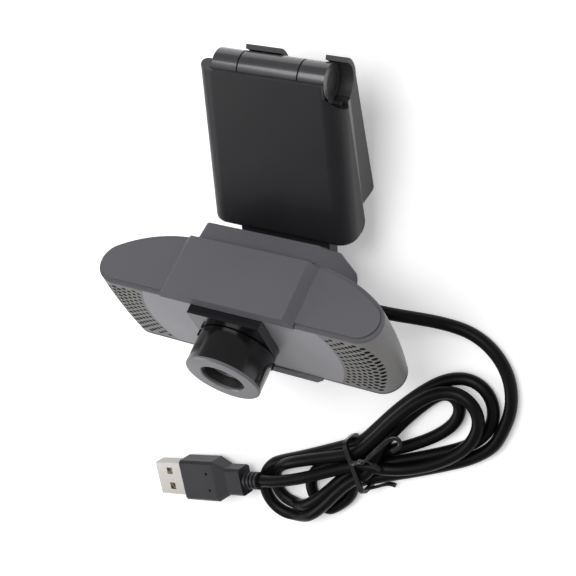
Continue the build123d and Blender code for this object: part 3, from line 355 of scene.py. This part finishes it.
# %% A node tree that cuts the holes
def grille_tree():
    """Builds the tree, with named inputs for the sizes of the pattern."""
    group = bpy.data.node_groups.new("grille_holes", "GeometryNodeTree")
    sockets = (("Shell", "NodeSocketGeometry", None), ("Side", "NodeSocketFloat", 1.0),
               ("Inner Offset", "NodeSocketFloat", 34.7 * MM), ("Column Pitch", "NodeSocketFloat", 1.82 * MM),
               ("Row Pitch", "NodeSocketFloat", 2.15 * MM), ("Bow", "NodeSocketFloat", 0.0165 / MM),
               ("Hole Length", "NodeSocketFloat", 1.35 * MM), ("Hole Width", "NodeSocketFloat", 1.0 * MM),
               ("Growth", "NodeSocketFloat", 0.05), ("Front", "NodeSocketFloat", 7.6 * MM),
               ("Cutter Depth", "NodeSocketFloat", 7.0 * MM), ("Finish", "NodeSocketMaterial", None),
               ("Hole Finish", "NodeSocketMaterial", None))
    for name, kind, value in sockets:
        made = group.interface.new_socket(name=name, in_out="INPUT", socket_type=kind)
        if value is not None:
            made.default_value = value
    group.interface.new_socket(name="Geometry", in_out="OUTPUT", socket_type="NodeSocketGeometry")
    tree = Tree(group)
    size = {name: tree.node("NodeGroupInput").other(name) for name, kind, value in sockets}
    grid = tree.node("GeometryNodeMeshGrid", {}, {
        "Vertices X": GRILLE_COLUMNS, "Vertices Y": GRILLE_ROWS, "Size X": 1.0, "Size Y": 1.0})
    index = tree.node("GeometryNodeInputIndex")
    column = (index / GRILLE_ROWS).floor()
    row = index % GRILLE_ROWS
    stagger = (column % 2) * 0.5 - 0.25
    height = (row - (GRILLE_ROWS - 1) / 2 + stagger) * size["Row Pitch"]
    offset = size["Inner Offset"] + column * size["Column Pitch"] - height * height * size["Bow"]
    place = tree.node("ShaderNodeCombineXYZ", {}, {
        "X": offset * size["Side"], "Y": height, "Z": size["Front"]})
    points = tree.node("GeometryNodeSetPosition", {}, {"Geometry": grid, "Position": place})
    grown = column * size["Growth"] + 1.0
    scale = tree.node("ShaderNodeCombineXYZ", {}, {
        "X": size["Hole Length"] * grown, "Y": size["Hole Width"] * grown, "Z": size["Cutter Depth"]})
    cutter = tree.node("GeometryNodeMeshCylinder", {}, {"Vertices": 14, "Radius": 0.5, "Depth": 1.0})
    cutters = tree.node("GeometryNodeInstanceOnPoints", {}, {
        "Points": points, "Instance": cutter, "Scale": scale})
    loose = tree.node("GeometryNodeRealizeInstances", {}, {"Geometry": cutters})
    leaned = tree.node("GeometryNodeTransform", {}, {
        "Geometry": loose, "Translation": HEAD_PLACE, "Rotation": (HEAD_TURN, 0.0, 0.0)})
    painted = tree.node("GeometryNodeSetMaterial", {}, {"Geometry": leaned, "Material": size["Hole Finish"]})
    holed = tree.node("GeometryNodeMeshBoolean", {"operation": "DIFFERENCE", "solver": "EXACT"}, {
        "Mesh 1": size["Shell"], "Mesh 2": painted})
    whole = tree.node("GeometryNodeRealizeInstances", {}, {"Geometry": holed})
    bored = tree.node("GeometryNodeMaterialSelection", {}, {"Material": size["Hole Finish"]})
    finished = tree.node("GeometryNodeSetMaterial", {}, {
        "Geometry": whole, "Selection": 1.0 - bored, "Material": size["Finish"]})
    tree.node("NodeGroupOutput", {}, {"Geometry": finished})
    return group


grille_group = grille_tree()
print("grille tree has", len(grille_group.nodes), "nodes")

# %% [markdown]
# ## Finishes
# Plastic is never one flat colour: its mould leaves a fine grain, and its gloss and shade vary a little. One
# recipe makes all the moulded plastics from noise in the object's own coordinates, in metres. Each has its own
# colour, gloss, grain size and grain depth.


# %% Start a material
def new_finish(name):
    """An empty material, its tree, and the object's own coordinates."""
    material = bpy.data.materials.new(name)
    material.use_nodes = True
    material.node_tree.nodes.clear()
    tree = Tree(material.node_tree)
    place = tree.node("ShaderNodeTexCoord").other("Object")
    return material, tree, place


def grain(tree, place, size_mm, detail=3.0, stretch=(1.0, 1.0, 1.0)):
    """Noise whose blotches are about this many millimetres across."""
    spread = tree.node("ShaderNodeMapping", {}, {"Vector": place, "Scale": stretch})
    return tree.node("ShaderNodeTexNoise", {}, {
        "Vector": spread, "Scale": 1.0 / (size_mm * MM), "Detail": detail, "Roughness": 0.55})


def shade(tree, mask, dark, light):
    """A colour between two, following a mask."""
    return tree.node("ShaderNodeMix", {"data_type": "RGBA"}, {
        0: mask, 6: (*dark, 1.0), 7: (*light, 1.0)}, output=2)


def finish_with(tree, sockets, height=None, depth_mm=0.01):
    """Ends a material with the main shader and, where there is a height, a bump."""
    if height is not None:
        sockets["Normal"] = tree.node("ShaderNodeBump", {}, {
            "Height": height, "Strength": 1.0, "Distance": depth_mm * MM})
    surface = tree.node("ShaderNodeBsdfPrincipled", {}, sockets)
    tree.node("ShaderNodeOutputMaterial", {}, {"Surface": surface})


print("finishes can be mixed from grain and shade")

# %% [markdown]
# A moulded surface mixes a fine grain, which also makes the bump, with slow blotches a few millimetres wide.
# Painted pieces get tiny metal flecks as well.


# %% Moulded plastic, paint and rubber
BLOTCH_MM = 14.0
FLECK_MM = 0.22


def moulded(name, colour, roughness, grain_mm=0.35, depth_mm=0.012, vary=0.12,
            constants=None, flecks=0.0):
    """Moulded plastic: fine grain in the bump, slow changes in shade and gloss."""
    material, tree, place = new_finish(name)
    fine = grain(tree, place, grain_mm)
    slow = grain(tree, place, BLOTCH_MM)
    mask = fine * 0.5 + slow * 0.5
    if flecks:
        specks = tree.node("ShaderNodeTexVoronoi", {"feature": "F1"}, {
            "Vector": place, "Scale": 1.0 / (FLECK_MM * MM)}, output="Color")
        bright = tree.node("ShaderNodeSeparateColor", {}, {"Color": specks})
        mask = mask + (bright - 0.5) * flecks
    dark = [value * (1.0 - vary) for value in colour]
    light = [value * (1.0 + vary) for value in colour]
    sockets = {"Base Color": shade(tree, mask, dark, light),
               "Roughness": (fine + slow - 1.0) * 0.16 + roughness}
    sockets.update(constants or {})
    finish_with(tree, sockets, fine, depth_mm)
    return material


GREY_TOP = (0.100, 0.099, 0.112)
finishes = {
    "plate_grey": moulded("plate_grey", (0.28, 0.272, 0.292), 0.42, 0.16, 0.004, 0.07,
                          {"Metallic": 0.25}, flecks=0.5),
    "end_grey": moulded("end_grey", (0.175, 0.17, 0.166), 0.45, 0.25, 0.006, 0.07, flecks=0.25),
    "cover_grey": moulded("cover_grey", GREY_TOP, 0.66, 0.30, 0.016, 0.14),
    "inner_plastic": moulded("inner_plastic", (0.02, 0.02, 0.021), 0.6),
    "neck_plastic": moulded("neck_plastic", (0.03, 0.03, 0.032), 0.55),
    "cable_rubber": moulded("cable_rubber", (0.018, 0.018, 0.02), 0.5, 0.5, 0.01),
    "hood_black": moulded("hood_black", (0.014, 0.014, 0.015), 0.5, 0.2, 0.01),
    "chip_black": moulded("chip_black", (0.02, 0.02, 0.022), 0.5, 0.15, 0.006),
    "connector_white": moulded("connector_white", (0.62, 0.61, 0.58), 0.45, 0.3, 0.004, 0.04),
    "pad_rubber": moulded("pad_rubber", (0.02, 0.02, 0.02), 0.8, 0.4, 0.03),
    "plug_plastic": moulded("plug_plastic", (0.021, 0.021, 0.026), 0.45, 0.28, 0.01,
                            constants={"Specular IOR Level": 0.3}),
    "clip_black": moulded("clip_black", (0.014, 0.014, 0.016), 0.42, 0.32, 0.014, 0.2,
                          {"Specular IOR Level": 0.3}),
    "leg_black": moulded("leg_black", (0.04, 0.038, 0.038), 0.45, 0.32, 0.014, 0.15,
                         {"Specular IOR Level": 0.35}),
    "bezel_grey": moulded("bezel_grey", (0.165, 0.165, 0.178), 0.36, 0.18, 0.004, 0.06, {"Metallic": 0.3}),
}
print("moulded finishes:", len(finishes))

# %% [markdown]
# Gloss plastic is smooth, so what shows is a clear coat, faint long scratches and a few dull patches. Cable
# skin lies between: it is drawn through a die, so its gloss varies slowly along it.


# %% Gloss plastic and cable skin
LONG_SCRATCH = 0.66  # noise above this is a scratch
CROSS_SCRATCH = 0.69


def polished(name, colour, roughness, scratch_depth, coat=0.6):
    """Glossy plastic with fine scratches."""
    material, tree, place = new_finish(name)
    long_scratches = grain(tree, place, 0.25, 4.0, stretch=(0.06, 1.0, 1.0))
    cross_scratches = grain(tree, place, 0.22, 4.0, stretch=(1.0, 0.08, 0.3))
    scratches = long_scratches.above(LONG_SCRATCH) + cross_scratches.above(CROSS_SCRATCH)
    slow = grain(tree, place, 9.0)
    worn = [value * 1.7 + 0.004 for value in colour]
    finish_with(tree, {
        "Base Color": shade(tree, scratches * 0.5, colour, worn),
        "Roughness": scratches * 0.08 + slow * 0.14 + roughness,
        "Coat Weight": (1.0 - scratches * 0.4) * coat, "Coat Roughness": 0.12,
    }, long_scratches + cross_scratches, scratch_depth)
    return material


def cable_skin(name, colour):
    """Soft cable jacket with a slow, uneven gloss."""
    material, tree, place = new_finish(name)
    fine = grain(tree, place, 0.5)
    slow = grain(tree, place, 7.0)
    light = [value * 1.8 for value in colour]
    finish_with(tree, {
        "Base Color": shade(tree, slow, colour, light),
        "Roughness": fine * 0.1 + slow * 0.16 + 0.26,
        "Specular IOR Level": 0.14,
    }, fine * 0.35 + slow * 2.0, 0.03)
    return material


finishes["gloss_black"] = polished("gloss_black", (0.004, 0.004, 0.005), 0.1, 0.001, 0.15)
finishes["knuckle_black"] = polished("knuckle_black", (0.034, 0.034, 0.037), 0.22, 0.008, 0.6)
finishes["tie_plastic"] = polished("tie_plastic", (0.006, 0.006, 0.007), 0.2, 0.003, 0.2)
finishes["cable_pvc"] = cable_skin("cable_pvc", (0.002, 0.002, 0.0025))
print("finishes so far:", len(finishes))

# %% [markdown]
# Metal parts are brushed or plated: noise stretched along one direction gives the marks. The glass elements
# are clear with a warm coating. The cloth behind the grilles is a plain weave of two crossing waves.


# %% Metal, glass, board and cloth
DUST = 0.72  # noise above this is dust
BANDS_PER_SCALE = 6.0  # waves that a wave texture draws in one unit at scale 1


def metal(name, colour, roughness, stretch=(0.08, 1.0, 1.0)):
    """Plated or brushed metal."""
    material, tree, place = new_finish(name)
    marks = grain(tree, place, 0.2, 3.0, stretch=stretch)
    slow = grain(tree, place, 5.0)
    dark = [value * 0.82 for value in colour]
    finish_with(tree, {
        "Base Color": shade(tree, marks * 0.5 + slow * 0.5, dark, colour), "Metallic": 1.0,
        "Roughness": marks * 0.14 + slow * 0.1 + roughness,
    }, marks, 0.003)
    return material


def coated_glass(name, tint):
    """Clear glass with a warm coating and a trace of dust."""
    material, tree, place = new_finish(name)
    dust = grain(tree, place, 0.4, 5.0)
    darker = [value * 0.7 for value in tint]
    finish_with(tree, {
        "Base Color": shade(tree, grain(tree, place, 6.0), darker, tint), "IOR": 1.5,
        "Transmission Weight": 0.85, "Roughness": dust.above(DUST) * 0.12 + 0.02, "Coat Weight": 0.5,
        "Coat Roughness": 0.03})
    return material


def weave(name, colour, pitch_mm):
    """Plain weave."""
    material, tree, place = new_finish(name)
    waves = {"Vector": place, "Scale": 1.0 / (pitch_mm * MM) / BANDS_PER_SCALE}
    warp = tree.node("ShaderNodeTexWave", {"bands_direction": "X"}, waves, 1)
    weft = tree.node("ShaderNodeTexWave", {"bands_direction": "Y"}, waves, 1)
    threads = warp * weft
    light = [value * 3.0 for value in colour]
    finish_with(tree, {
        "Base Color": shade(tree, threads, colour, light), "Roughness": 0.95 - threads * 0.1,
    }, threads, 0.05)
    return material


finishes["screw_steel"] = metal("screw_steel", (0.55, 0.55, 0.54), 0.25)
finishes["inner_metal"] = metal("inner_metal", (0.6, 0.6, 0.6), 0.3)
finishes["plug_steel"] = metal("plug_steel", (0.40, 0.385, 0.37), 0.22, stretch=(1.0, 0.1, 1.0))
finishes["contact_brass"] = metal("contact_brass", (0.86, 0.62, 0.28), 0.2)
finishes["lens_glass"] = coated_glass("lens_glass", (0.42, 0.26, 0.17))
finishes["board_green"] = moulded("board_green", (0.02, 0.12, 0.05), 0.3, 0.8, 0.006)
finishes["grille_cloth"] = weave("grille_cloth", (0.006, 0.006, 0.006), 0.3)
print("finishes made:", sorted(finishes))

# %% [markdown]
# Every packed node names a finish in its record, so one loop gives each node its material.

# %% Give every node its finish
slot_of = {row["node"]: row["material_slot"] for row in frame["record"]["subparts"]}
for name, node in frame["nodes"].items():
    material = finishes[slot_of[name]]
    if not node.material_slots:
        node.data.materials.append(material)
    for place in node.material_slots:
        place.material = material
webcam_lead.data.materials.append(finishes["cable_pvc"])
for tie_piece in tie_ends:
    tie_piece.data.materials.append(finishes["tie_plastic"])
print("nodes finished:", len(slot_of))

# %% [markdown]
# ## Cut the grilles
# The packed mesh is loose triangles, so a copy is merged before it is cut. The modifier's inputs are set by
# the sockets' identifiers. The cut copy becomes a plain mesh, and edges that turn sharply are kept crisp.


# %% Merge a copy of a node
MERGE_DISTANCE = 0.001 * MM
CRISP_ANGLE = 28  # degrees


def merged_copy(name, new_name):
    """A copy of a node's mesh with its loose triangles joined."""
    mesh = frame["nodes"][name].data.copy()
    mesh.name = new_name
    work = bmesh.new()
    work.from_mesh(mesh)
    bmesh.ops.remove_doubles(work, verts=work.verts, dist=MERGE_DISTANCE)
    work.to_mesh(mesh)
    work.free()
    piece = bpy.data.objects.new(new_name, mesh)
    bpy.context.scene.collection.objects.link(piece)
    return piece


def crisp_edges(mesh, degrees):
    """Smooth shading, except over edges that turn by more than this."""
    work = bmesh.new()
    work.from_mesh(mesh)
    bmesh.ops.remove_doubles(work, verts=work.verts, dist=MERGE_DISTANCE)
    for face in work.faces:
        face.smooth = True
    for edge in work.edges:
        edge.smooth = edge.is_manifold and edge.calc_face_angle() < math.radians(degrees)
    work.to_mesh(mesh)
    work.free()


print("copies merge points closer than", MERGE_DISTANCE, "m")

# %% [markdown]
# The same steps run for both ends: merge a copy, run the tree, keep the edges crisp, hide the shell that the
# new piece stands in for, and attach it to the body it moves with.


# %% Cut each end shell
def run_tree(piece, group, values):
    """Runs a tree on a piece and leaves a plain mesh."""
    modifier = piece.modifiers.new("pattern", "NODES")
    modifier.node_group = group
    for socket in group.interface.items_tree:
        if socket.in_out == "INPUT" and socket.name in values:
            modifier[socket.identifier] = values[socket.name]
    bpy.context.view_layer.update()
    mesh = bpy.data.meshes.new_from_object(piece.evaluated_get(bpy.context.evaluated_depsgraph_get()))
    piece.modifiers.remove(modifier)
    piece.data = mesh


for side, side_name in ((-1.0, "left"), (1.0, "right")):
    grille = merged_copy(side_name + "_end_shell", side_name + "_grille")
    run_tree(grille, grille_group, {
        "Side": side, "Finish": finishes["end_grey"], "Hole Finish": finishes["grille_cloth"]})
    crisp_edges(grille.data, CRISP_ANGLE)
    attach(grille, "head")
    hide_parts(side_name + "_end_shell")
    print(side_name, "grille:", len(grille.data.polygons), "faces")

# %% [markdown]
# ## Table and light
# A pale table and broad soft lights stand in for a small studio. The table glows a little, so that it stays
# white while the webcam's dark finishes keep their depth.

# %% The table
table_mesh = bpy.data.meshes.new("table")
half_table = 1.5
table_mesh.from_pydata([(-half_table, -half_table, 0), (half_table, -half_table, 0),
                        (half_table, half_table, 0), (-half_table, half_table, 0)], [], [(0, 1, 2, 3)])
table = bpy.data.objects.new("table", table_mesh)
bpy.context.scene.collection.objects.link(table)
table_finish, table_tree = new_finish("table_white")[:2]
finish_with(table_tree, {
    "Base Color": (0.93, 0.93, 0.94, 1.0), "Roughness": 0.6,
    "Emission Color": (1.0, 1.0, 1.0, 1.0), "Emission Strength": 0.3})
table.data.materials.append(table_finish)
print("table is", 2 * half_table, "m wide")

# %% [markdown]
# Each light is a broad square, because a broad light gives soft shadows and long, calm reflections. The main
# one hangs above, and two weaker ones stand in front and at the side. The standard view keeps the finishes'
# colours as they are set.


# %% Soft lights
def soft_light(name, place, aim, width, power):
    """A square area light that looks at a point."""
    data = bpy.data.lights.new(name, "AREA")
    data.size = width
    data.energy = power
    light = bpy.data.objects.new(name, data)
    light.location = place
    light.rotation_euler = (Vector(aim) - Vector(place)).to_track_quat("-Z", "Y").to_euler()
    bpy.context.scene.collection.objects.link(light)


soft_light("top_light", (-0.2, 0.45, 1.1), (0, -0.02, 0), 0.8, 10)
soft_light("front_light", (-0.9, -0.45, 0.75), (0, -0.02, 0.02), 0.6, 4.5)
soft_light("side_light", (1.0, -0.1, 0.6), (0, 0, 0.02), 0.6, 0.9)
world = bpy.data.worlds.new("studio")
world.use_nodes = True
world.node_tree.nodes["Background"].inputs["Color"].default_value = (1.0, 1.0, 1.0, 1.0)
world.node_tree.nodes["Background"].inputs["Strength"].default_value = 0.28
bpy.context.scene.world = world
bpy.context.scene.view_settings.view_transform = "Standard"
print("lights:", len(bpy.data.lights))

# %% [markdown]

# %% [markdown]
